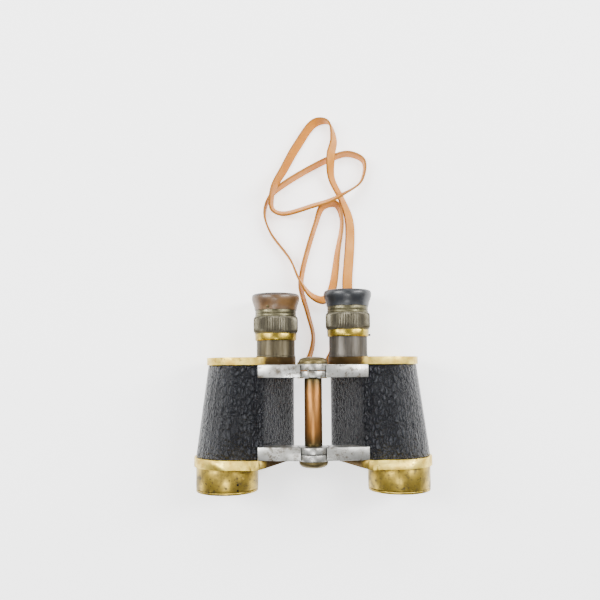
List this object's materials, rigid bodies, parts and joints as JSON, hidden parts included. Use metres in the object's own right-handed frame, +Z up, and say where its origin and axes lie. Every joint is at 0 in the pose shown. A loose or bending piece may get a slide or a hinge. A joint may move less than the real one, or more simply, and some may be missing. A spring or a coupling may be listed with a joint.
{
  "type": "prism binoculars",
  "caption": "Old prism binoculars with leather covered barrels, brass end covers, a centre hinge, separately focused eyepieces and a loose leather neck strap.",
  "frame": {"origin": "on the table, under the middle of the instrument's footprint without its strap", "axes": "+X across the pair towards the right barrel, +Y along the barrels towards the eyepieces, +Z up, with the hinge uppermost"},
  "size_m": [0.149, 0.2464, 0.0546],
  "materials": {
    "casting_alloy": "cast light alloy, worn bright, stained",
    "body_leather": "black pebbled leather, worn and shiny at the edges",
    "cover_brass": "old brass, matt, stained brown",
    "tube_brass": "brass turned dark, pitted",
    "optical_glass": "polished glass",
    "shelf_alloy": "cast light alloy, blackened",
    "spring_steel": "spring steel strip",
    "eyepiece_metal": "dark lacquer worn down to metal",
    "screw_steel": "turned steel",
    "knurled_metal": "knurled, dark in the grooves and worn on the teeth",
    "worn_eyecup": "moulded black composition faded brown",
    "black_eyecup": "polished black composition",
    "hinge_steel": "turned steel",
    "hinge_bronze": "bronze tube, rubbed bright",
    "cap_bronze": "dark bronze",
    "strap_leather": "tan strap leather with darker edges"
  },
  "bodies": {
    "left_barrel": {"left_housing": "casting_alloy", "left_leather": "body_leather", "left_ocular_cover": "cover_brass", "left_objective_cover": "cover_brass", "left_objective_tube": "tube_brass", "left_objective_ring": "tube_brass", "left_objective_crown": "optical_glass", "left_objective_flint": "optical_glass", "left_prism_shelf": "shelf_alloy", "left_front_prism": "optical_glass", "left_rear_prism": "optical_glass", "left_front_prism_clip": "spring_steel", "left_rear_prism_clip": "spring_steel", "left_eyepiece_tube": "eyepiece_metal", "left_strap_lug": "tube_brass", "left_tube_screw_1": "screw_steel", "left_tube_screw_2": "screw_steel", "hinge_axle": "hinge_steel", "hinge_tube": "hinge_bronze", "hinge_top_cap": "cap_bronze", "hinge_bottom_cap": "cap_bronze", "neck_strap": "strap_leather"},
    "right_barrel": {"right_housing": "casting_alloy", "right_leather": "body_leather", "right_ocular_cover": "cover_brass", "right_objective_cover": "cover_brass", "right_objective_tube": "tube_brass", "right_objective_ring": "tube_brass", "right_objective_crown": "optical_glass", "right_objective_flint": "optical_glass", "right_prism_shelf": "shelf_alloy", "right_front_prism": "optical_glass", "right_rear_prism": "optical_glass", "right_front_prism_clip": "spring_steel", "right_rear_prism_clip": "spring_steel", "right_eyepiece_tube": "eyepiece_metal", "right_strap_lug": "tube_brass", "right_tube_screw_1": "screw_steel", "right_tube_screw_2": "screw_steel"},
    "left_ocular": {"left_ocular_barrel": "tube_brass", "left_field_lens": "optical_glass", "left_eye_lens": "optical_glass"},
    "left_eyepiece_head": {"left_scale_band": "cover_brass", "left_focus_ring": "knurled_metal", "left_collar_ring": "eyepiece_metal", "left_eyecup": "worn_eyecup", "left_stop_screw": "screw_steel"},
    "right_ocular": {"right_ocular_barrel": "tube_brass", "right_field_lens": "optical_glass", "right_eye_lens": "optical_glass"},
    "right_eyepiece_head": {"right_scale_band": "cover_brass", "right_focus_ring": "knurled_metal", "right_collar_ring": "eyepiece_metal", "right_eyecup": "black_eyecup", "right_stop_screw": "screw_steel"}
  },
  "joints": [
    {"name": "fold", "type": "hinge", "parent": "left_barrel", "child": "right_barrel", "pos_m": [0, 0, 0.0455], "axis": [0, -1, 0], "range_deg": [0, 78]},
    {"name": "left_focus_travel", "type": "slide", "parent": "left_barrel", "child": "left_ocular", "axis": [0, 1, 0], "range_m": [-0.0014, 0.0036]},
    {"name": "left_focus_turn", "type": "hinge", "parent": "left_ocular", "child": "left_eyepiece_head", "pos_m": [-0.0232, 0.03685, 0.0195], "axis": [0, 1, 0], "range_deg": [-64, 163]},
    {"name": "right_focus_travel", "type": "slide", "parent": "right_barrel", "child": "right_ocular", "axis": [0, 1, 0], "range_m": [-0.0036, 0.0014]},
    {"name": "right_focus_turn", "type": "hinge", "parent": "right_ocular", "child": "right_eyepiece_head", "pos_m": [0.0232, 0.03685, 0.0195], "axis": [0, 1, 0], "range_deg": [-163, 64]}
  ],
  "couplings": [
    {"joint": "left_focus_turn", "follows": "left_focus_travel", "rad_per_m": 785.4},
    {"joint": "right_focus_turn", "follows": "right_focus_travel", "rad_per_m": 785.4}
  ]
}
